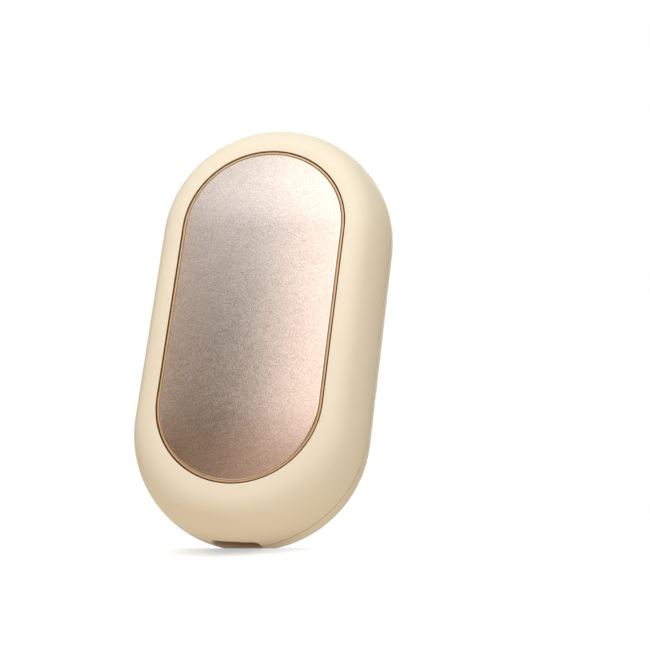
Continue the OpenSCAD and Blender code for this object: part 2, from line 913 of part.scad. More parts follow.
// Two-pin lead header, entered from the front
module heater_header() {
    color([0.93, 0.92, 0.88]) difference() {
        header_body(heater_pins);
        for (x = heater_pins)
            rod(x, header_z + header_l / 2, lead_d / 2 + fit_gap, header_front - over, header_front + over);
    }
}

// Small board that carries the port, screwed to the rear shell
module port_board() {
    color(board_green) difference() {
        slab(port_y, port_back) translate([0, port_board_z + port_board_l / 2])
            rounded_box(port_board_w, port_board_l, 1);
        port_rods(hole_r, port_y - over, port_back + over);
    }
}

// Stamped steel shell of the charging port
module port_shell() {
    color([0.78, 0.78, 0.8]) translate([0, 0, port_z]) difference() {
        linear_extrude(port_l) rounded_box(port_w, port_t, port_t / 2 - 0.05);
        translate([0, 0, -over]) linear_extrude(port_l + 2 * over)
            rounded_box(port_w - 2 * port_skin, port_t - 2 * port_skin, port_t / 2 - port_skin - 0.05);
    }
}

// Insulator of the port: a block behind and a thin tongue in front
module port_tongue() {
    tongue_w = 6.69;
    tongue_t = 0.7;
    tongue_l = 4.45;
    block_l = 2;
    inside = port_skin + 0.05;
    color(soot) translate([0, 0, port_z + port_l - block_l]) {
        linear_extrude(block_l)
            rounded_box(port_w - 2 * inside, port_t - 2 * inside, port_t / 2 - inside - 0.05);
        translate([-tongue_w / 2, -tongue_t / 2, -tongue_l]) cube([tongue_w, tongue_t, tongue_l + 0.5]);
    }
}

// Gold contacts on both sides of the tongue
module port_contacts() {
    pitch = 0.5;
    count = 12;
    contact = [0.25, 0.06, 3.4];
    lift = 0.36;
    first_x = -pitch * (count - 1) / 2 - contact[0] / 2;
    color([0.85, 0.65, 0.3]) for (n = [0:count - 1], turn = [0, 1]) mirror([0, turn, 0])
        translate([first_x + n * pitch, lift, port_z + port_l - 6.2]) cube(contact);
}

function unit(v) = v / norm(v);

// Value at a share of the way between two others
function between(a, b, share) = a + share * (b - a);

// Round lead along a list of points, with its ends square to the path
module lead(path, d, aside) {
    sides = 8;
    last = len(path) - 1;
    rings = [for (n = [0:last])
        let (t = unit(path[min(n + 1, last)] - path[max(n - 1, 0)]),
            u = unit(cross(t, aside)),
            v = cross(t, u))
        for (k = [0:sides - 1]) path[n] + d / 2 * (cos(360 * k / sides) * u + sin(360 * k / sides) * v)];
    walls = [for (n = [0:last - 1], k = [0:sides - 1])
        let (a = n * sides + k, b = n * sides + (k + 1) % sides)
        for (face = [[a, b, b + sides], [a, b + sides, a + sides]]) face];
    ends = [[for (k = [sides - 1:-1:0]) k], [for (k = [0:sides - 1]) last * sides + k]];
    polyhedron(rings, concat(walls, ends), convexity = 4);
}

// From the lower strip, up the groove between the cells, to the battery header
module negative_lead() {
    pin = battery_pins[0];
    color(soot) lead([
        [0, tab_y, cell_lift - 1.1], [0, tab_y + 1.1, cell_lift - 1],
        [0, groove_y + 0.5, cell_lift + 0.4], [0, groove_y + 0.1, cell_lift + 2.4],
        [0, groove_y, cell_lift + 5], [0, groove_y, cell_top - 5],
        [0.2 * pin, groove_y + 0.6, cell_top - 2.2], [0.65 * pin, header_y - 0.8, cell_top + 0.6],
        [pin, header_y, header_z - 0.9], [pin, header_y, header_z - 0.2], [pin, header_y, header_z + 0.6]
    ], lead_d, [1, 0, 0]);
}

// From the upper strip to the battery header
module positive_lead() {
    pin = battery_pins[1];
    color([0.75, 0.08, 0.08]) lead([
        [pin, tab_y - 1.2, cell_top + 0.9], [pin + 0.1, tab_y + 0.6, cell_top + 1],
        [pin + 0.1, tab_y + 2.2, cell_top + 1.1], [pin, header_y - 0.3, header_z - 1.3],
        [pin, header_y, header_z - 0.4], [pin, header_y, header_z + 0.6]
    ], lead_d, [1, 0, 0]);
}

// The port's two leads, from its board up to the main board
module port_leads() {
    x = port_lead_x;
    landing = board_lo + 1.6;
    color([0.55, 0.08, 0.08]) both_sides() lead([
        [x, port_back + 0.1, port_screw_z - 1.2], [x, port_back + 1.6, port_screw_z - 1.1],
        [x, port_lead_y - 0.8, port_screw_z + 1], [x, port_lead_y, port_screw_z + 4],
        [x, port_lead_y, board_lo - 4], [x, port_lead_y + 0.4, board_lo - 1.6],
        [x, board_y - 1, landing - 0.2], [x, board_y - 0.4, landing], [x, board_y - 0.05, landing]
    ], lead_d - 0.2, [1, 0, 0]);
}

// From the film's pads to the heater header
module heater_leads() {
    entry_z = header_z + header_l / 2;
    color([0.9, 0.9, 0.88]) for (n = [0, 1]) {
        from = [pad_x * (2 * n - 1), pad_y];
        to = [heater_pins[n], header_front];
        xs = [for (share = [0, 0, 0.02, 0.12, 0.35, 0.91, 1]) between(from[0], to[0], share)];
        lead([
            [xs[0], from[1], pads_z], [xs[1], from[1] + 1.2, pads_z], [xs[2], from[1] + 2.6, pads_z + 0.2],
            [xs[3], between(from[1], to[1], 0.3), between(pads_z, entry_z, 0.6)],
            [xs[4], between(from[1], to[1], 0.62), entry_z],
            [xs[5], to[1] - 3, entry_z], [xs[6], to[1] - 1, entry_z], [xs[6], to[1] + 0.7, entry_z]
        ], lead_d - 0.1, [0, 0, 1]);
    }
}

// From the sensor bead to the main board
module sensor_leads() {
    start_y = sensor_y + 1.65 * sensor_r;
    landing = header_z + 0.6;
    color(soot) for (shift = [-0.4, 0.4]) {
        xs = [for (share = [0, 0.08, 0.36, 0.77, 0.97, 1]) between(sensor_x, sensor_pin_x, share) + shift];
        lead([
            [xs[0], start_y, sensor_z], [xs[0], start_y + 0.6, sensor_z],
            [xs[1], start_y + 2.2, sensor_z + 0.2],
            [xs[2], between(start_y, board_y, 0.37), landing + 1.8],
            [xs[3], between(start_y, board_y, 0.62), landing + 1.6],
            [xs[4], board_y - 2.6, landing + 0.4], [xs[5], board_y - 0.05, landing]
        ], lead_d / 2, [0, 0, 1]);
    }
}

// Pan-head screw whose head rests on a face; the shank points along dir
module screw(x, z, y, length, dir) {
    slot = [0.3, 1.8];
    translate([x, y, z]) rotate([-90 * dir, 0, 0]) {
        translate([0, 0, -head_t]) difference() {
            cylinder(r = head_r, h = head_t, $fn = 32);
            for (turn = [0, 90]) rotate(turn) translate([-slot[0] / 2, -slot[1] / 2, -over])
                cube([slot[0], slot[1], over + head_t / 2]);
        }
        cylinder(r = shank_r, h = length, $fn = 32);
    }
}

module cradle_screws() {
    color(steel) both_sides() for (z = [screw_low, screw_top])
        screw(screw_x, z, boss_y + lug_t, long_screw, -1);
}

module board_screws() {
    color(steel) {
        both_sides() screw(board_screw_x, board_screw_z, board_y, board_screw_l, 1);
        screw(0, board_screw_top, board_y, board_screw_l, 1);
        both_sides() screw(port_screw_x, port_screw_z, port_y, port_screw_l, 1);
    }
}

front_shell();
rear_shell();
heating_plate();
trim_ring();
plate_gasket();
heater_film();
heater_trace();
heat_pad();
thermistor();
battery_cradle();
end_pads();
cell_can(-1);  // left_cell_can
cell_can(1);  // right_cell_can
cell_core(-1);  // left_cell_core
cell_core(1);  // right_cell_core
cell_sleeve(-1);  // left_cell_sleeve
cell_sleeve(1);  // right_cell_sleeve
cell_cap(-1);  // left_cell_cap
cell_cap(1);  // right_cell_cap
cell_washer(-1);  // left_cell_washer
cell_washer(1);  // right_cell_washer
lower_strip();
upper_strip();
main_board();
board_insulator();
tact_switch();
tact_plunger();
power_button();
charge_lights();
light_guide();
charge_chip();
control_chip();
heater_switches();
chip_parts();
inductor();
battery_header();
heater_header();
port_board();
port_shell();
port_tongue();
port_contacts();
negative_lead();
positive_lead();
port_leads();
heater_leads();
sensor_leads();
cradle_screws();
board_screws();
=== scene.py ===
import json
import math

import bmesh
import bpy
import numpy as np
from mathutils import Matrix, Vector
from mathutils.geometry import delaunay_2d_cdt


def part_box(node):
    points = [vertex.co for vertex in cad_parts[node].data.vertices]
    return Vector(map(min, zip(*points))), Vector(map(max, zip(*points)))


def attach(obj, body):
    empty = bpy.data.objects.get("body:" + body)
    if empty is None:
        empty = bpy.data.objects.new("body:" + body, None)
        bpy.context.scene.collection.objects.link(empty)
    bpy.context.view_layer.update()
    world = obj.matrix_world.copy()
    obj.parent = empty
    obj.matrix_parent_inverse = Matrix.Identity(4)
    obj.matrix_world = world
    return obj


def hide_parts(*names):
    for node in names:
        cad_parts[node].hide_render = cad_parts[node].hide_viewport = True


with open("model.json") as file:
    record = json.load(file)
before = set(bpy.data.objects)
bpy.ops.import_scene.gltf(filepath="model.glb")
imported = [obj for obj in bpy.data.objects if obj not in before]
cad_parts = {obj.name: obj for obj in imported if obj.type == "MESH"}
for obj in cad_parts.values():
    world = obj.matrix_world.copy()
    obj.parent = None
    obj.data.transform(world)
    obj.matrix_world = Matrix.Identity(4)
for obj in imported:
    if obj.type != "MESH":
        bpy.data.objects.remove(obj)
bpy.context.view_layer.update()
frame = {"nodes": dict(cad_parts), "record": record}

# Lengths below are in millimetres and turned to metres where a mesh is made
MM = 0.001


def node_box(name):
    """A node's lowest and highest corners, in millimetres."""
    return [np.array(corner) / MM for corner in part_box(name)]


# Sizes of the body, read from the frame
rear_hi = node_box("rear_shell")[1]
plate_lo, plate_hi = node_box("heating_plate")
trim_lo, trim_hi = node_box("trim_ring")
cap_lo, cap_hi = node_box("power_button")
HALF_W = rear_hi[0]
BODY_L = rear_hi[2]
BACK_Y = rear_hi[1]
FRONT_Y = plate_lo[1]
FOOT_CUT = 0.4
LOW_Z = HALF_W - FOOT_CUT
TOP_Z = BODY_L - HALF_W

# The rounded side: a small arc off each flat face, and a large one between them
EDGE_MARGIN = 7.7
EDGE_R = 6.0
EDGE_X = HALF_W - EDGE_MARGIN
SIDE_R = (EDGE_MARGIN**2 + BACK_Y**2 - 2 * BACK_Y * EDGE_R) / (2 * (EDGE_MARGIN - EDGE_R))
SIDE_A = math.atan2(BACK_Y - EDGE_R, SIDE_R - EDGE_MARGIN)
WALL = 1.8
SKIN_WALL = 0.9
SEAM_GROOVE = 0.25
SEAM_BAND = 3.6

# Rows of the mesh over the small arc, the large arc and the band beside the seam
EDGE_ROWS = 22
SIDE_ROWS = 10
SEAM_ROWS = 34

# A point well inside the body, in metres
BODY_MIDDLE = Vector((0, 0, 0.05))

# The window for the heater
PLATE_HALF = plate_hi[0]
PLATE_LOW_Z = plate_lo[2] + PLATE_HALF
PLATE_TOP_Z = plate_hi[2] - PLATE_HALF
WINDOW_HALF = EDGE_X
WINDOW_EDGE = 0.15
LEDGE_Y = trim_hi[1]
PLATE_CHAMFER = 0.22
PLATE_SOFT = 0.07

# The trim: its width, its step in from the ring's edge, and how much shallower its inner side is
TRIM_WIDTH = 0.46
TRIM_GAP = 0.16
TRIM_LEAN = 0.24

# The button, its dish and the lights
BUTTON_Z = (cap_lo[2] + cap_hi[2]) / 2
BUTTON_R = 5.75
BUTTON_GAP = 0.15
CAP_Y = cap_hi[1]
CAP_EDGE = 0.22
CAP_THICK = 0.9
CAP_SIDES = 200
FLANGE_OVER = 0.95
FLANGE_THICK = 0.45
FLANGE_PLAY = 0.1
SKIRT_THICK = 1.0
POST_R = 1.0
DISH_OUT = 8.0
DISH_IN = 6.35
LIGHT_R = 11.1
LIGHT_STEP = math.radians(29.5)
LIGHT_HOLE = 0.6
LIGHT_RIM = 0.3

# The power sign on the button
SIGN_R = 2.6
SIGN_GAP = math.radians(42)
SIGN_TOP = 3.1
SIGN_FOOT = -0.45
SIGN_STROKE = 0.46
SIGN_DEPTH = 0.16
SIGN_SLOPE = 0.16
SIGN_REACH = 4.0

# The recess round the charging port
RECESS_W = 11.0
RECESS_T = 6.0
RECESS_CORNER = 2.0
RECESS_DEPTH = 1.6
RECESS_SLOPE = 0.34
PORT_W = 9.14
PORT_T = 3.46
PORT_SLOPE = 0.24
PORT_SINK = 1.2
FOOT_BAND = 3.0


def smooth(value):
    """Eases from 0 to 1, and holds outside."""
    held = np.clip(value, 0.0, 1.0)
    return held * held * (3 - 2 * held)


def rounded_box_distance(x, y, width, height, corner):
    """Signed distance to a rectangle with rounded corners, negative inside."""
    across = np.abs(x) - width / 2 + corner
    along = np.abs(y) - height / 2 + corner
    outside = np.hypot(np.maximum(across, 0), np.maximum(along, 0))
    return outside + np.minimum(np.maximum(across, along), 0) - corner


class Outline:
    """Stations round a pill outline, each with an arc centre's height and a direction."""

    def __init__(self, arc_step, fine_half=0.0, fine_step=1.0):
        down = -90.0
        straight_steps = 10
        turn = [down + a for a in np.arange(0, fine_half, fine_step)]
        turn += list(np.linspace(down + fine_half, 0, round((90 - fine_half) / arc_step) + 1))
        quarter = np.radians(turn)
        rise = np.linspace(0, 1, straight_steps + 1)[1:-1]
        half_turn = np.radians(np.linspace(0, 90, round(90 / arc_step) + 1))
        angles = np.concatenate([quarter, 0 * rise, half_turn])
        share = np.concatenate([0 * quarter, rise, 0 * half_turn + 1])
        mirrored = slice(-2, 0, -1)
        self.across = np.concatenate([np.cos(angles), -np.cos(angles)[mirrored]])
        self.along = np.concatenate([np.sin(angles), np.sin(angles)[mirrored]])
        self.share = np.concatenate([share, share[mirrored]])

    def loop(self, reach, depth, low=LOW_Z, high=TOP_Z):
        """The closed loop at one distance from the pill's middle line, at one depth."""
        height = np.clip(LOW_Z + self.share * (TOP_Z - LOW_Z), low, high)
        height = np.where(self.along < 0, low, np.where(self.along > 0, high, height))
        return np.stack([self.across * reach, np.full_like(height, depth), height + self.along * reach], 1)


class Shape:
    """Points and faces of one piece, gathered in millimetres."""

    def __init__(self):
        self.points = []
        self.faces = []

    def add_points(self, points):
        first = len(self.points)
        self.points.extend(np.asarray(points, float))
        return first

    def strip(self, loops):
        """Quads between neighbouring closed loops of equal length."""
        firsts = [self.add_points(loop) for loop in loops]
        count = len(loops[0])
        for a, b in zip(firsts, firsts[1:]):
            for i in range(count):
                j = (i + 1) % count
                self.faces.append((a + i, a + j, b + j, b + i))

    def flat(self, outer, holes, depth, side):
        """A flat face at one depth inside an outer loop and outside round holes."""
        loops = [outer] + [ring for ring, _, _ in holes]
        plan = [Vector((p[0], p[2])) for loop in loops for p in loop]
        edges = []
        start = 0
        for loop in loops:
            count = len(loop)
            edges += [(start + i, start + (i + 1) % count) for i in range(count)]
            start += count
        points, _, triangles, _, _, _ = delaunay_2d_cdt(plan, edges, [], 1, 1e-6)
        first = self.add_points([(p.x, depth, p.y) for p in points])
        for triangle in triangles:
            middle = sum((points[k] for k in triangle), Vector((0, 0))) / 3
            if any((middle - Vector(centre)).length < radius for _, centre, radius in holes):
                continue
            a, b, c = (points[k] for k in triangle)
            turned = (b - a).cross(c - a) * side > 0
            self.faces.append(tuple(first + k for k in (triangle if turned else reversed(triangle))))

    def mesh(self, name):
        """The gathered faces as a mesh in metres, with doubles merged and smooth shading."""
        merge = 0.002
        build = bmesh.new()
        made = [build.verts.new(Vector(p) * MM) for p in self.points]
        for face in self.faces:
            build.faces.new([made[k] for k in face])
        bmesh.ops.remove_doubles(build, verts=build.verts, dist=merge * MM)
        bmesh.ops.dissolve_degenerate(build, edges=build.edges, dist=merge * MM / 4)
        data = bpy.data.meshes.new(name)
        build.to_mesh(data)
        build.free()
        data.polygons.foreach_set("use_smooth", [True] * len(data.polygons))
        return data


def circle(radius, depth, centre, count):
    """A round loop about the depth axis."""
    angles = np.linspace(0, 2 * math.pi, count, endpoint=False)
    return np.stack([
        centre[0] + radius * np.sin(angles), np.full(count, depth), centre[1] + radius * np.cos(angles)
    ], 1)


def arc(centre, radius, start, end, count):
    """Points of an arc in a half section, angles in degrees."""
    angles = np.radians(np.linspace(start, end, count))
    return [(centre[0] + radius * math.cos(a), centre[1] + radius * math.sin(a)) for a in angles]


def piece(name, data, material, body, replaces=()):
    """One finished piece on its body, standing for the nodes it replaces."""
    made = bpy.data.objects.new(name, data)
    bpy.context.scene.collection.objects.link(made)
    data.materials.clear()
    data.materials.append(material)
    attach(made, body)
    if replaces:
        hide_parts(*replaces)
    return made


def harden(data, angle):
    """Marks the edges sharper than an angle, so that flat faces stay flat beside round ones."""
    build = bmesh.new()
    build.from_mesh(data)
    for edge in build.edges:
        if len(edge.link_faces) == 2 and edge.calc_face_angle(0) > math.radians(angle):
            edge.smooth = False
    build.to_mesh(data)
    build.free()


# Camera, at the photograph's angle

CAMERA_AZIMUTH = math.radians(16.33)
CAMERA_HEIGHT = math.radians(-20.55)
CAMERA_ROLL = math.radians(7.16)
CAMERA_DISTANCE = 494.66
CAMERA_AIM = (13.17, 2.22, 53.98)
LENS = 118.96


def make_camera():
    """A level camera by azimuth and height, then rolled about its line of sight."""
    side, level = math.sin(CAMERA_AZIMUTH), math.cos(CAMERA_AZIMUTH)
    rise, flat = math.sin(CAMERA_HEIGHT), math.cos(CAMERA_HEIGHT)
    back = Vector((side * flat, -level * flat, rise))
    right = Vector((level, side, 0))
    up = back.cross(right)
    turned_right = right * math.cos(CAMERA_ROLL) + up * math.sin(CAMERA_ROLL)
    turned_up = back.cross(turned_right)
    data = bpy.data.cameras.new("camera")
    data.lens = LENS
    data.sensor_width = 36
    data.clip_start = 0.01
    camera = bpy.data.objects.new("camera", data)
    bpy.context.scene.collection.objects.link(camera)
    place = (Vector(CAMERA_AIM) + back * CAMERA_DISTANCE) * MM
    turned = Matrix((turned_right, turned_up, back)).transposed().to_4x4()
    camera.matrix_world = Matrix.Translation(place) @ turned
    bpy.context.scene.camera = camera


# Materials

class Number:
    """A shader value; Python arithmetic on it adds Math nodes."""

    def __init__(self, finish, socket):
        self.finish = finish
        self.socket = socket

    def maths(self, operation, *others):
        """The result of a Math node on this value and the others."""
        values = dict(enumerate((self,) + others))
        return self.finish.add("ShaderNodeMath", values, operation=operation)[0]

    def __add__(self, other):
        return self.maths("ADD", other)

    def __sub__(self, other):
        return self.maths("SUBTRACT", other)

    def __rsub__(self, other):
        return (self * -1) + other

    def __mul__(self, other):
        return self.maths("MULTIPLY", other)

    def __pow__(self, other):
        return self.maths("POWER", other)

    __radd__ = __add__
    __rmul__ = __mul__

    def size(self):
        """The value without its sign."""
        return self.maths("ABSOLUTE")

    def held(self, low, high):
        """The value, held between two limits."""
        return self.maths("MAXIMUM", low).maths("MINIMUM", high)

    def ease(self, low, high):
        """Eases from 0 at low to 1 at high."""
        return self.finish.add(
            "ShaderNodeMapRange", {0: self, 1: low, 2: high}, interpolation_type="SMOOTHSTEP"
        )[0]


class Finish:
    """The shader tree of a material, or of the world; add() makes a node and returns its outputs."""

    def __init__(self, name, world=None):
        self.material = world or bpy.data.materials.new(name)
        self.material.use_nodes = True
        self.tree = self.material.node_tree
        self.surface = self.tree.nodes.get("Principled BSDF")

    def feed(self, socket, value):
        if isinstance(value, Number):
            self.tree.links.new(value.socket, socket)
        else:
            socket.default_value = value

    def add(self, kind, values=None, **settings):
        made = self.tree.nodes.new(kind)
        for name, value in settings.items():
            setattr(made, name, value)
        for name, value in (values or {}).items():
            self.feed(made.inputs[name], value)
        return [Number(self, socket) for socket in made.outputs]

    def set(self, **sockets):
        """Sets sockets of the surface shader; Base_Color stands for Base Color."""
        for name, value in sockets.items():
            self.feed(self.surface.inputs[name.replace("_", " ")], value)
        return self

    def place(self, stretch=(1, 1, 1), turn=(0, 0, 0)):
        """The piece's own coordinates, for a pattern that is stretched and then turned."""
        spot = self.add("ShaderNodeTexCoord")[3]
        values = {"Vector": spot, "Scale": stretch, "Rotation": turn}
        return self.add("ShaderNodeMapping", values, vector_type="TEXTURE")[0]

    def noise(self, scale, detail=2.0, rough=0.5, stretch=(1, 1, 1), turn=(0, 0, 0)):
        return self.add("ShaderNodeTexNoise", {
            "Vector": self.place(stretch, turn), "Scale": scale, "Detail": detail, "Roughness": rough
        })[0]

    def blend(self, share, first, second):
        """Mixes two colours, each a value or a link."""
        first, second = (c if isinstance(c, Number) else (*c, 1) for c in (first, second))
        return self.add("ShaderNodeMix", {0: share, 6: first, 7: second}, data_type="RGBA")[2]

    def bump(self, height, distance, strength=1.0):
        return self.add("ShaderNodeBump", {"Height": height, "Distance": distance, "Strength": strength})[0]


def cream_plastic(name, painted_shade):
    """Satin moulded plastic: faint clouds, a fine grain, and the painted shade that the given function
    adds.
    """
    finish = Finish(name)
    cloud = finish.noise(90, detail=3)
    grain = finish.noise(5200, detail=2)
    clean = finish.blend(cloud, (0.800, 0.755, 0.645), (0.835, 0.790, 0.690))
    x, y, z = finish.add("ShaderNodeSeparateXYZ", {0: finish.place()})
    return finish.set(
        Base_Color=painted_shade(finish, clean, x, y, z),
        Roughness=0.44 + 0.08 * grain,
        Normal=finish.bump(grain, 0.000004),
        Specular_IOR_Level=0.45,
    ).material


def painted_shade_shell(finish, clean, x, y, z):
    """Painted shade: brown in the seam, on the window's edge and up in the port's recess, where these lie
    in shadow.
    """
    # Painted shade along the seam's groove
    seam = 1 - y.size().ease(0.22 * MM, 0.34 * MM)
    # Painted shade on the window's edge, beside the gap to the trim
    lift = z - z.held(PLATE_LOW_Z * MM, PLATE_TOP_Z * MM)
    reach = (x * x + lift * lift) ** 0.5
    window = 1 - reach.ease((WINDOW_HALF + 0.03) * MM, (WINDOW_HALF + 0.12) * MM)
    front = 1 - y.ease((FRONT_Y + 1) * MM, (FRONT_Y + 1.5) * MM)
    seam_window_shade = finish.blend(seam * 0.4 + window * front * 0.9, clean, (0.36, 0.25, 0.13))
    # Painted shade up inside the port's recess
    across = 1 - x.size().ease((RECESS_W / 2 - 0.1) * MM, (RECESS_W / 2 + 0.2) * MM)
    through = 1 - y.size().ease((RECESS_T / 2 - 0.1) * MM, (RECESS_T / 2 + 0.2) * MM)
    sunk = z.ease(0.3 * MM, RECESS_DEPTH * MM) * (1 - z.ease(2.5 * MM, FOOT_BAND * MM))
    return finish.blend(across * through * sunk, seam_window_shade, (0.40, 0.26, 0.12))


def painted_shade_sign(finish, clean, x, y, z):
    """Painted shade: tan in the sunk strokes of the power sign."""
    lift = z - BUTTON_Z * MM
    near = 1 - ((x * x + lift * lift) ** 0.5).ease((SIGN_REACH + 0.2) * MM, (SIGN_REACH + 0.4) * MM)
    sunk = near * (1 - y.ease((CAP_Y - SIGN_DEPTH) * MM, (CAP_Y - 0.03) * MM))
    return finish.blend(sunk * 0.7, clean, (0.56, 0.43, 0.28))


def brushed_champagne():
    """Blasted and brushed both ways: fine specks, short strokes in four directions, faint clouds."""
    finish = Finish("brushed_champagne")
    strokes = 0.0
    for turn in (8, 52, 97, 141):
        lay = (0, math.radians(turn), 0)
        strokes += finish.noise(3400, detail=1, rough=0.6, stretch=(5, 1, 1), turn=lay) * 0.25
    specks = finish.noise(4600, detail=0)
    clouds = finish.noise(150, detail=3, rough=0.6)
    tone = strokes * 2.2 + specks * 1.5 + clouds * 0.35 - 1.5
    return finish.set(
        Base_Color=finish.blend(tone, (0.38, 0.305, 0.27), (0.59, 0.51, 0.475)),
        Metallic=1.0,
        Roughness=0.28 + 0.08 * tone,
        Normal=finish.bump(strokes * 2 + specks, 0.000022, 0.9),
    ).material


def polished_edge():
    """The plate's chamfer, cut bright after the blasting."""
    finish = Finish("polished_edge")
    wear = finish.noise(700, detail=3)
    return finish.set(
        Base_Color=finish.blend(wear, (0.62, 0.51, 0.43), (0.72, 0.61, 0.53)),
        Metallic=1.0,
        Roughness=0.16 + 0.08 * wear,
    ).material


def rose_gold():
    """The trim's face: satin, with a slow change of wear along it."""
    finish = Finish("rose_gold")
    wear = finish.noise(500, detail=3)
    return finish.set(
        Base_Color=finish.blend(wear, (0.52, 0.345, 0.205), (0.64, 0.445, 0.28)),
        Metallic=1.0,
        Roughness=0.50 + 0.08 * wear,
    ).material


def painted_shade_bronze():
    """The trim's sides, darkened as painted shade for the narrow gaps beside the ring."""
    finish = Finish("painted_shade_bronze")
    # A mottle within the painted shade
    scale = finish.noise(1800, detail=3)
    return finish.set(
        Base_Color=finish.blend(scale, (0.14, 0.07, 0.025), (0.22, 0.12, 0.05)),
        Metallic=0.4,
        Roughness=0.55 + 0.2 * scale,
    ).material


# Finishes of the pieces inside, by slot: two tones, roughness, metallic and grain per metre
INNER_FINISHES = {
    "adhesive_black": ((0.02, 0.02, 0.02), (0.05, 0.05, 0.05), 0.7, 0.0, 900),
    "film_amber": ((0.45, 0.18, 0.03), (0.62, 0.28, 0.06), 0.3, 0.0, 300),
    "trace_copper": ((0.62, 0.30, 0.16), (0.75, 0.40, 0.24), 0.3, 1.0, 1500),
    "pad_white": ((0.72, 0.72, 0.67), (0.88, 0.88, 0.83), 0.95, 0.0, 2500),
    "sensor_black": ((0.02, 0.02, 0.02), (0.04, 0.04, 0.045), 0.3, 0.0, 900),
    "cradle_black": ((0.03, 0.03, 0.032), (0.05, 0.05, 0.052), 0.6, 0.0, 1800),
    "foam_grey": ((0.08, 0.08, 0.085), (0.14, 0.14, 0.15), 0.95, 0.0, 3000),
    "can_steel": ((0.50, 0.51, 0.53), (0.68, 0.69, 0.71), 0.35, 1.0, 1200),
    "core_grey": ((0.08, 0.08, 0.09), (0.16, 0.16, 0.17), 0.7, 0.0, 2000),
    "sleeve_blue": ((0.02, 0.09, 0.28), (0.03, 0.13, 0.36), 0.35, 0.0, 400),
    "washer_white": ((0.70, 0.70, 0.64), (0.82, 0.82, 0.76), 0.85, 0.0, 2600),
    "strip_nickel": ((0.55, 0.53, 0.49), (0.70, 0.68, 0.64), 0.3, 1.0, 1400),
    "board_green": ((0.01, 0.09, 0.04), (0.02, 0.14, 0.07), 0.4, 0.0, 1200),
    "chip_black": ((0.02, 0.02, 0.02), (0.04, 0.04, 0.04), 0.5, 0.0, 3000),
    "chip_tan": ((0.36, 0.26, 0.16), (0.48, 0.36, 0.23), 0.5, 0.0, 3000),
    "ferrite_grey": ((0.05, 0.05, 0.055), (0.10, 0.10, 0.105), 0.6, 0.0, 2600),
    "plunger_white": ((0.66, 0.66, 0.63), (0.75, 0.75, 0.72), 0.4, 0.0, 1200),
    "light_white": ((0.72, 0.69, 0.52), (0.80, 0.77, 0.62), 0.4, 0.0, 1500),
    "header_white": ((0.70, 0.68, 0.60), (0.80, 0.78, 0.70), 0.45, 0.0, 1500),
    "port_steel": ((0.42, 0.41, 0.40), (0.56, 0.55, 0.54), 0.3, 1.0, 2200),
    "contact_gold": ((0.72, 0.48, 0.16), (0.85, 0.60, 0.24), 0.25, 1.0, 2500),
    "wire_black": ((0.015, 0.015, 0.015), (0.03, 0.03, 0.03), 0.5, 0.0, 1500),
    "wire_red": ((0.30, 0.01, 0.01), (0.42, 0.02, 0.02), 0.5, 0.0, 1500),
    "wire_white": ((0.68, 0.68, 0.64), (0.80, 0.80, 0.76), 0.5, 0.0, 1500),
    "screw_steel": ((0.34, 0.34, 0.35), (0.50, 0.50, 0.51), 0.35, 1.0, 2600),
}


def inner_finish(name, dark, light, rough, metal, grain):
    """A mottled finish with a faint relief of its own grain."""
    finish = Finish(name)
    mottle = finish.noise(grain, detail=3)
    return finish.set(
        Base_Color=finish.blend(mottle, dark, light),
        Metallic=metal,
        Roughness=rough - 0.05 + 0.1 * mottle,
        Normal=finish.bump(mottle, 0.00001),
    ).material


def smoked_guide():
    """The light guide's dark smoked plastic."""
    finish = Finish("smoked_guide")
    haze = finish.noise(1500, detail=2)
    return finish.set(
        Base_Color=finish.blend(haze, (0.045, 0.022, 0.008), (0.080, 0.043, 0.017)),
        Roughness=0.25 + 0.1 * haze,
    ).material


# Shells

def side_section():
    """Half section of the rear shell's outside, from the flat face down to the seam."""
    flat_end = math.degrees(math.acos(WINDOW_EDGE / EDGE_R))
    side_start = math.degrees(SIDE_A)
    band_start = math.degrees(math.asin(SEAM_BAND / SIDE_R))
    centre = (HALF_W - SIDE_R, 0)
    points = arc((EDGE_X, BACK_Y - EDGE_R), EDGE_R, flat_end, side_start, EDGE_ROWS)
    points += arc(centre, SIDE_R, side_start, band_start, SIDE_ROWS)[1:]
    band = np.degrees(np.arcsin(np.linspace(SEAM_BAND, SEAM_GROOVE, SEAM_ROWS) / SIDE_R))
    points += [p for a in band[1:] for p in arc(centre, SIDE_R, a, a, 1)]
    return points


def sink_recess(points):
    """Presses the recess and the way in for the plug into the foot, and cuts the foot flat."""
    x, y, z = points.T
    near = z < FOOT_BAND
    outer = rounded_box_distance(x, y, RECESS_W - 0.1, RECESS_T - 0.1, RECESS_CORNER)
    inner = rounded_box_distance(x, y, PORT_W, PORT_T, PORT_T / 2)
    recess = smooth(0.5 - outer / RECESS_SLOPE)
    way_in = near * smooth(0.5 - inner / PORT_SLOPE)
    sunk = recess * (RECESS_DEPTH - np.maximum(z, 0)) + way_in * PORT_SINK
    moved = points.copy()
    moved[:, 2] += np.where(near, np.maximum(0, -z) + sunk, 0)
    return moved, way_in


def shell_skin(name, side, start_loops, closing):
    """One shell: loops from its opening out over the rim, down to the seam and inwards."""
    outline = Outline(3.0, fine_half=15.0, fine_step=0.26)
    loops = start_loops(outline)
    ways = [np.zeros(len(outline.across)) for _ in loops]
    for reach, depth in side_section():
        rim = outline.loop(reach, side * depth)
        moved, way_in = sink_recess(rim)
        loops.append(moved)
        ways.append(way_in)
    seam_x, seam_y = HALF_W - SEAM_GROOVE, 0.01
    for reach in (seam_x, seam_x - SKIN_WALL):
        loops.append(moved + (outline.loop(reach, side * seam_y) - rim))
        ways.append(way_in)
    shape = Shape()
    shape.strip(loops)
    open_share = 0.98
    depth = np.concatenate(ways)
    shape.faces = [f for f in shape.faces if min(depth[k] for k in f) < open_share]
    if closing:
        closing(shape, outline)
    return shape.mesh(name)


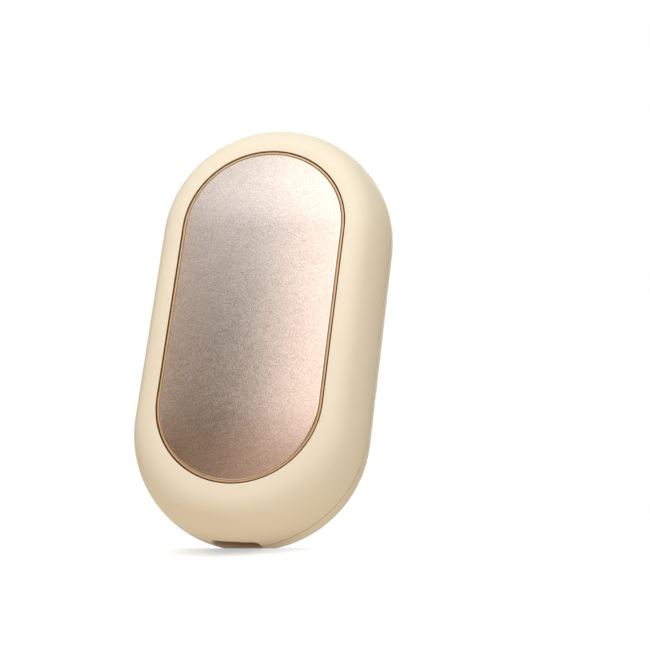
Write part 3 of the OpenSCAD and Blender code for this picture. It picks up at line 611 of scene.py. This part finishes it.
def thicken(made):
    """Gives a skin its wall on the inner side, and applies it."""
    wall = made.modifiers.new("wall", "SOLIDIFY")
    wall.thickness = SKIN_WALL * MM
    wall.offset = -1
    bpy.context.view_layer.update()
    solid = bpy.data.meshes.new_from_object(made.evaluated_get(bpy.context.evaluated_depsgraph_get()))
    made.modifiers.clear()
    made.data = solid


def facing(data, inside):
    """Turns the faces outwards, as seen from a point inside."""
    build = bmesh.new()
    build.from_mesh(data)
    bmesh.ops.recalc_face_normals(build, faces=build.faces)
    votes = 0
    for face in build.faces:
        outwards = face.calc_center_median() - inside
        votes += face.calc_area() * (1 if face.normal.dot(outwards) > 0 else -1)
    if votes < 0:
        bmesh.ops.reverse_faces(build, faces=build.faces)
    build.to_mesh(data)
    build.free()


def make_shell(node, side, start_loops, material, closing=None):
    """One shell's skin with its wall, in place of its node."""
    name = node + "_skin"
    data = shell_skin(name, side, start_loops, closing)
    facing(data, BODY_MIDDLE)
    harden(data, 40)
    thicken(piece(name, data, material, "housing", [node]))


def front_start(outline):
    """The window's wall and edge."""
    window = (PLATE_LOW_Z, PLATE_TOP_Z)
    loops = [outline.loop(WINDOW_HALF, depth, *window) for depth in (LEDGE_Y, FRONT_Y + WINDOW_EDGE + 0.05)]
    centre = (WINDOW_HALF + WINDOW_EDGE, FRONT_Y + WINDOW_EDGE)
    loops += [outline.loop(reach, depth, *window) for reach, depth in arc(centre, WINDOW_EDGE, 180, 270, 5)]
    return loops


def rear_start(outline):
    """The line where the flat face turns into the rounded side."""
    return [outline.loop(EDGE_X + WINDOW_EDGE, BACK_Y)]


def button_loops():
    """The dish, from its soft outer rim to the gap round the button."""
    section = []
    for share in np.linspace(0, 1, 14):
        section.append((DISH_OUT + share * (DISH_IN - DISH_OUT), BACK_Y - smooth(share) * (BACK_Y - CAP_Y)))
    hole = BUTTON_R + BUTTON_GAP
    edge = 0.1
    section += arc((hole + edge, CAP_Y - edge), edge, 90, 180, 4)
    section += [(hole, CAP_Y - 0.6), (hole, BACK_Y - WALL)]
    return [circle(radius, depth, (0, BUTTON_Z), 128) for radius, depth in section]


def light_place(step):
    """The middle of one light hole, by its number from the button's upright."""
    return (LIGHT_R * math.sin(step * LIGHT_STEP), BUTTON_Z + LIGHT_R * math.cos(step * LIGHT_STEP))


def light_loops(step):
    """One light hole, from its softened rim inwards."""
    centre = (LIGHT_HOLE + LIGHT_RIM, BACK_Y - LIGHT_RIM)
    section = arc(centre, LIGHT_RIM, 90, 180, 6) + [(LIGHT_HOLE, BACK_Y - 1.0), (LIGHT_HOLE, BACK_Y - WALL)]
    return [circle(radius, depth, light_place(step), 40) for radius, depth in section]


def rear_face(shape, outline):
    """The flat face round the dish and the light holes, and the walls of these."""
    steps = (-1, 0, 1)
    dish = button_loops()
    lights = [light_loops(step) for step in steps]
    holes = [(dish[0], (0, BUTTON_Z), DISH_OUT)]
    holes += [(loops[0], light_place(step), LIGHT_HOLE + LIGHT_RIM) for step, loops in zip(steps, lights)]
    shape.flat(rear_start(outline)[0], holes, BACK_Y, 1)
    for loops in [dish] + lights:
        shape.strip(loops)


# Heating plate and its trim

def make_plate(face_material, edge_material):
    """The heating plate, with a bright chamfer whose two edges are softened."""
    outline = Outline(1.5)
    corner = PLATE_SOFT * 0.35
    section = [
        (PLATE_HALF - PLATE_CHAMFER - PLATE_SOFT, FRONT_Y),
        (PLATE_HALF - PLATE_CHAMFER, FRONT_Y + corner),
        (PLATE_HALF - corner, FRONT_Y + PLATE_CHAMFER),
        (PLATE_HALF, FRONT_Y + PLATE_CHAMFER + PLATE_SOFT),
        (PLATE_HALF, plate_hi[1]),
    ]
    loops = [outline.loop(reach, depth, PLATE_LOW_Z, PLATE_TOP_Z) for reach, depth in section]
    shape = Shape()
    shape.flat(loops[0], [], FRONT_Y, -1)
    shape.strip(loops)
    shape.flat(loops[-1], [], plate_hi[1], 1)
    data = shape.mesh("plate_face")
    inside = Vector((0, (FRONT_Y + 0.6) * MM, 0.05))
    facing(data, inside)
    harden(data, 60)
    piece("plate_face", data, face_material, "housing", ["heating_plate"])
    data.materials.append(edge_material)
    for face in data.polygons:
        face.material_index = 0 if abs(face.normal.y) > 0.98 else 1


RING_SIZES = {"Radius": 1.0, "Low": 0.0, "High": 1.0, "Width": 0.1, "Depth": 0.1, "Lean": 0.1, "Rise": 0.0}


def ring_tree(material):
    """Node tree that carries a section with a leaning back round a pill outline."""
    tree = bpy.data.node_groups.new("trim_sweep", "GeometryNodeTree")
    tree.interface.new_socket("Geometry", in_out="OUTPUT", socket_type="NodeSocketGeometry")
    sizes = {}
    for label, value in RING_SIZES.items():
        socket = tree.interface.new_socket(label, in_out="INPUT", socket_type="NodeSocketFloat")
        socket.default_value = value
        sizes[label] = socket.identifier
    nodes, links = tree.nodes, tree.links
    given = nodes.new("NodeGroupInput")
    out = nodes.new("NodeGroupOutput")

    def make(kind, values=None, **settings):
        made = nodes.new(kind)
        for name, value in settings.items():
            setattr(made, name, value)
        for name, value in (values or {}).items():
            if isinstance(value, bpy.types.NodeSocket):
                links.new(value, made.inputs[name])
            else:
                made.inputs[name].default_value = value
        return made

    def number(operation, first, second):
        return make("ShaderNodeMath", {0: first, 1: second}, operation=operation).outputs[0]

    size = given.outputs
    length = number("SUBTRACT", size["High"], size["Low"])
    diameter = number("MULTIPLY", size["Radius"], 2.0)
    height = number("ADD", length, diameter)
    middle = number("MULTIPLY", number("ADD", size["High"], size["Low"]), 0.5)
    plan = make("GeometryNodeCurvePrimitiveQuadrilateral", {
        "Width": diameter, "Height": height
    }, mode="RECTANGLE")
    rounded = make("GeometryNodeFilletCurve", {
        "Curve": plan.outputs["Curve"], "Radius": number("MULTIPLY", size["Radius"], 0.99995), "Count": 60
    }, mode="POLY")
    half_w = number("MULTIPLY", size["Width"], 0.5)
    half_d = number("MULTIPLY", size["Depth"], 0.5)
    near_x, near_y = number("MULTIPLY", half_w, -1.0), number("MULTIPLY", half_d, -1.0)
    sunk_y = number("SUBTRACT", half_d, size["Lean"])

    def corner(across, along):
        return make("ShaderNodeCombineXYZ", {0: across, 1: along}).outputs[0]

    section = make("GeometryNodeCurvePrimitiveQuadrilateral", {
        "Point 1": corner(near_x, near_y), "Point 2": corner(half_w, near_y),
        "Point 3": corner(half_w, half_d), "Point 4": corner(near_x, sunk_y),
    }, mode="POINTS")
    soft = make("GeometryNodeFilletCurve", {
        "Curve": section.outputs["Curve"], "Radius": number("MULTIPLY", size["Width"], 0.12), "Count": 4
    }, mode="POLY")
    swept = make("GeometryNodeCurveToMesh", {
        "Curve": rounded.outputs["Curve"], "Profile Curve": soft.outputs["Curve"], "Fill Caps": False
    })
    shift = make("ShaderNodeCombineXYZ", {0: 0.0, 1: size["Rise"], 2: middle})
    stood = make("GeometryNodeTransform", {
        "Geometry": swept.outputs["Mesh"], "Rotation": (math.pi / 2, 0, 0), "Translation": shift.outputs[0]
    })
    real = make("GeometryNodeRealizeInstances", {"Geometry": stood.outputs["Geometry"]})
    painted = make("GeometryNodeSetMaterial", {"Geometry": real.outputs["Geometry"], "Material": material})
    links.new(painted.outputs["Geometry"], out.inputs["Geometry"])
    return tree, sizes


def make_trim(face_material, side_material):
    """The trim ring: its face in one finish, its outward sides in a dark one that paints the shade of the
    gaps beside them.
    """
    radius = trim_hi[0] - TRIM_GAP - TRIM_WIDTH / 2
    depth = trim_hi[1] - trim_lo[1]
    tree, sizes = ring_tree(face_material)
    made = bpy.data.objects.new("trim_band", bpy.data.meshes.new("trim_band"))
    bpy.context.scene.collection.objects.link(made)
    sweep = made.modifiers.new("sweep", "NODES")
    sweep.node_group = tree
    values = {
        "Radius": radius * MM, "Low": PLATE_LOW_Z * MM, "High": PLATE_TOP_Z * MM, "Width": TRIM_WIDTH * MM,
        "Depth": depth * MM, "Lean": TRIM_LEAN * MM, "Rise": (trim_lo[1] + depth / 2) * MM,
    }
    for label, value in values.items():
        sweep[sizes[label]] = value
    bpy.context.view_layer.update()
    data = bpy.data.meshes.new_from_object(made.evaluated_get(bpy.context.evaluated_depsgraph_get()))
    made.modifiers.clear()
    bpy.data.objects.remove(made)
    data.polygons.foreach_set("use_smooth", [True] * len(data.polygons))
    harden(data, 50)
    piece("trim_band", data, face_material, "housing", ["trim_ring"])
    data.materials.append(side_material)
    # The outward sides take the dark finish, as painted shade
    for face in data.polygons:
        out_x = face.center.x
        out_z = face.center.z - min(max(face.center.z, PLATE_LOW_Z * MM), PLATE_TOP_Z * MM)
        outwards = face.normal.x * out_x + face.normal.z * out_z > 0
        face.material_index = 1 if outwards and face.normal.y > -0.5 else 0


# Power button

def sign_depth(x, z):
    """Depth of the power sign at a place on the cap: an open ring and an upright line."""
    angle = np.arctan2(x, z)
    held = np.where(np.abs(angle) < SIGN_GAP, np.sign(angle + 1e-9) * SIGN_GAP, angle)
    ring = np.hypot(x - SIGN_R * np.sin(held), z - SIGN_R * np.cos(held))
    line = np.hypot(x, z - np.clip(z, SIGN_FOOT, SIGN_TOP))
    away = np.minimum(ring, line)
    return SIGN_DEPTH * smooth((SIGN_STROKE / 2 + 0.06 - away) / SIGN_SLOPE)


def make_button(material):
    """The cap with its sunk sign, the skirt and flange behind it, and the post that presses the switch."""
    edge_r = BUTTON_R - CAP_EDGE
    radii = np.concatenate([np.linspace(0.08, SIGN_REACH, 62), np.linspace(SIGN_REACH + 0.2, edge_r, 6)])
    section = [(radius, CAP_Y) for radius in radii]
    section += arc((edge_r, CAP_Y - CAP_EDGE), CAP_EDGE, 90, 0, 7)[1:]
    flange_r = BUTTON_R + FLANGE_OVER
    flange_top = BACK_Y - WALL - FLANGE_PLAY
    flange_low = flange_top - FLANGE_THICK
    skirt_r = BUTTON_R - SKIRT_THICK
    ceiling = CAP_Y - CAP_THICK
    section += [
        (BUTTON_R, flange_top), (flange_r, flange_top), (flange_r, flange_low), (skirt_r, flange_low),
        (skirt_r, ceiling), (POST_R, ceiling), (POST_R, cap_lo[1]), (0.05, cap_lo[1]),
    ]
    shape = Shape()
    loops = []
    for radius, depth in section:
        loop = circle(radius, depth, (0, BUTTON_Z), CAP_SIDES)
        if depth == CAP_Y and radius < SIGN_REACH:
            loop[:, 1] -= sign_depth(loop[:, 0], loop[:, 2] - BUTTON_Z)
        loops.append(loop)
    shape.strip(loops)
    first = shape.add_points(loops[0])
    shape.faces.append(tuple(first + k for k in range(CAP_SIDES)))
    last = shape.add_points(loops[-1])
    shape.faces.append(tuple(last + k for k in reversed(range(CAP_SIDES))))
    data = shape.mesh("button_cap")
    inside = Vector((0, 0.0118, BUTTON_Z * MM))
    facing(data, inside)
    harden(data, 40)
    piece("button_cap", data, material, "button", ["power_button"])


# Stage and light

CARD_Y = -200


def make_floor():
    """A pale floor that falls away in front of the foot, so that the camera sees it from above."""
    fold_y = 2.2
    fold_r = 1.2
    fold_turn = math.radians(-10)
    slope = math.radians(30)
    reach = 1600.0
    section = [(reach, 0.0), (300.0, 0.0), (60.0, 0.0), (20.0, 0.0)]
    for turn in np.linspace(0, slope, 6):
        section.append((fold_y - fold_r * math.sin(turn), fold_r * (math.cos(turn) - 1)))
    end_y, end_z = section[-1]
    for far in (10, 40, 120, 400, reach):
        section.append((end_y - far * math.cos(slope), end_z - far * math.sin(slope)))
    widths = (-reach, -300.0, -80.0, 0.0, 80.0, 300.0, reach)
    shape = Shape()
    across = Vector((math.cos(fold_turn), math.sin(fold_turn)))
    along = Vector((-math.sin(fold_turn), math.cos(fold_turn)))
    plan = [(x * across + y * along, z) for y, z in section for x in widths]
    first = shape.add_points([(p.x, p.y, z) for p, z in plan])
    row = len(widths)
    for i in range(len(section) - 1):
        for j in range(row - 1):
            a = first + i * row + j
            shape.faces.append((a, a + 1, a + row + 1, a + row))
    data = shape.mesh("floor")
    floor = bpy.data.objects.new("floor", data)
    bpy.context.scene.collection.objects.link(floor)
    data.materials.append(floor_finish())


def floor_finish():
    """White to the camera, shaded by the foot and by a painted shadow in its glow round the foot, and warm
    and duller to the light it throws back.
    """
    finish = Finish("floor_white")
    x, y, _ = finish.add("ShaderNodeSeparateXYZ", {0: finish.place()})
    # Painted shadow: the glow dims to grey in a wide ellipse round the foot
    away = (((x - 3 * MM) ** 2 * 0.1 + y * y) ** 0.5).ease(2 * MM, 15 * MM)
    finish.set(
        Base_Color=(0.52, 0.56, 0.60, 1),
        Roughness=0.9,
        Specular_IOR_Level=0.0,
        Emission_Color=finish.blend(away, (0.44, 0.455, 0.475), (1, 1, 1)),
        Emission_Strength=1.0,
    )
    seen = finish.add("ShaderNodeLightPath")[0]
    dull = finish.add("ShaderNodeBsdfDiffuse", {"Color": (0.70, 0.62, 0.52, 1)})[0]
    glow = finish.add("ShaderNodeEmission", {"Color": (1.0, 0.96, 0.86, 1), "Strength": 0.20})[0]
    thrown = finish.add("ShaderNodeAddShader", {0: dull, 1: glow})[0]
    bright = Number(finish, finish.surface.outputs[0])
    both = finish.add("ShaderNodeMixShader", {0: seen, 1: thrown, 2: bright})[0]
    output = finish.tree.nodes["Material Output"]
    finish.feed(output.inputs["Surface"], both)
    return finish.material


def make_world():
    """White to the camera; to the part a soft room, bright at the front right and dark at the left."""
    world = bpy.data.worlds.new("studio")
    bpy.context.scene.world = world
    room = Finish("studio", world)
    spot = room.add("ShaderNodeTexCoord")[0]
    x, y, z = room.add("ShaderNodeSeparateXYZ", {0: spot})
    right = room.blend(y.ease(-0.9, -0.3), (1.92, 1.89, 1.84), (0.55, 0.50, 0.43))
    front = room.blend(x.ease(-0.5, 0.5), (0.02, 0.015, 0.01), right)
    behind = room.blend(x.ease(-0.97, -0.88), (1.5, 1.3, 1.1), (0.20, 0.17, 0.14))
    walls = room.blend(y.ease(-0.3, 0.3), front, behind)
    standing = room.blend(z.ease(0.0, 0.35), (0.30, 0.17, 0.06), walls)
    whole = room.blend(z.ease(0.35, 0.75), standing, (0.59, 0.56, 0.42))
    seen = room.add("ShaderNodeLightPath")[0]
    background = world.node_tree.nodes["Background"]
    room.feed(background.inputs["Color"], room.blend(seen, whole, (1, 1, 1)))


def make_light(name, place, aim, size, glow, colour=(1, 1, 1)):
    """A softbox of a given brightness."""
    data = bpy.data.lights.new(name, "AREA")
    data.shape = "RECTANGLE"
    data.size, data.size_y = (s * MM for s in size)
    data.energy = glow * math.pi * data.size * data.size_y
    data.color = colour
    light = bpy.data.objects.new(name, data)
    bpy.context.scene.collection.objects.link(light)
    towards = (Vector(aim) - Vector(place)).normalized()
    turned = towards.to_track_quat("-Z", "Y").to_matrix().to_4x4()
    light.matrix_world = Matrix.Translation(Vector(place) * MM) @ turned
    light.visible_camera = False


def make_card(name, x, z, size, glow, colour=(1, 1, 1)):
    """A light card that hangs squarely in front of the part, where the plate mirrors it."""
    make_light(name, (x, CARD_Y, z), (x, 0, z), size, glow, colour)


def dress_inner_nodes():
    """Gives every node that stays visible the finish of its slot."""
    made = {slot: inner_finish(slot, *values) for slot, values in INNER_FINISHES.items()}
    made["guide_clear"] = smoked_guide()
    slots = {s["node"]: s["material_slot"] for s in frame["record"]["subparts"]}
    for name, node in frame["nodes"].items():
        if slots[name] in made:
            node.data.materials.clear()
            node.data.materials.append(made[slots[name]])


bpy.context.scene.view_settings.view_transform = "Standard"
make_camera()
cream = cream_plastic("soft_touch_cream", painted_shade_shell)
make_shell("front_shell", -1, front_start, cream)
make_shell("rear_shell", 1, rear_start, cream, rear_face)
make_plate(brushed_champagne(), polished_edge())
make_trim(rose_gold(), painted_shade_bronze())
make_button(cream_plastic("button_cream", painted_shade_sign))
dress_inner_nodes()
make_floor()
make_world()
make_card("plate_card", 10, 215, (100, 170), 1.31, (1.0, 1.02, 1.05))
make_card("warm_card", 18, 90, (86, 80), 1.45, (1.0, 0.86, 0.74))
make_card("side_card", 120, 180, (120, 240), 1.4)
make_card("upper_card", -115, 240, (150, 160), 1.72, (0.92, 1.03, 1.10))
make_card("edge_card", -65, 152, (50, 55), 0.5, (0.75, 0.95, 1.0))
make_card("rosy_card", 0, 20, (120, 80), 0.55, (1.0, 0.71, 0.58))
make_card("left_card", -220, 180, (120, 240), 1.1, (1.0, 0.83, 0.65))
make_light("key", (60, -430, 480), (0, 0, 60), (420, 360), 1.0)
make_light("left_box", (-520, -120, 200), (0, 0, 50), (300, 400), 0.8)
make_light("low_box", (-150, -350, -60), (0, 0, 40), (360, 120), 0.24)
make_light("back_box", (-120, 520, 330), (0, 0, 60), (420, 420), 2.4)
